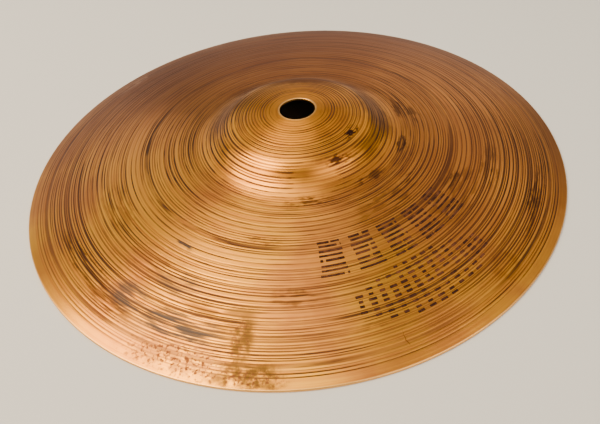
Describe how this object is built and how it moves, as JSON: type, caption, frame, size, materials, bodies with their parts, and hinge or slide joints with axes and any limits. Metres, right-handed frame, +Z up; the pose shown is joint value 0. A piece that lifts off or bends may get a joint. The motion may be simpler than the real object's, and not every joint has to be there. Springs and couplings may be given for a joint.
{
  "type": "splash cymbal",
  "caption": "Small round bronze cymbal with a raised bell, a centre hole for a stand rod, turned grooves on both faces and a worn black print.",
  "frame": {"origin": "on the cymbal's axis, in the plane that the rim rests on", "axes": "+Z up along the axis, out of the bell's top; +X to the right and +Y away as seen by someone facing the print's side; the print lies at 56 degrees clockwise from +X"},
  "size_m": [0.2032, 0.2032, 0.0253],
  "materials": {
    "bronze": "turned",
    "ink": "worn"
  },
  "bodies": {
    "root": {"cymbal_disc": "bronze", "print_blocks": "ink", "print_dots": "ink"}
  },
  "joints": []
}
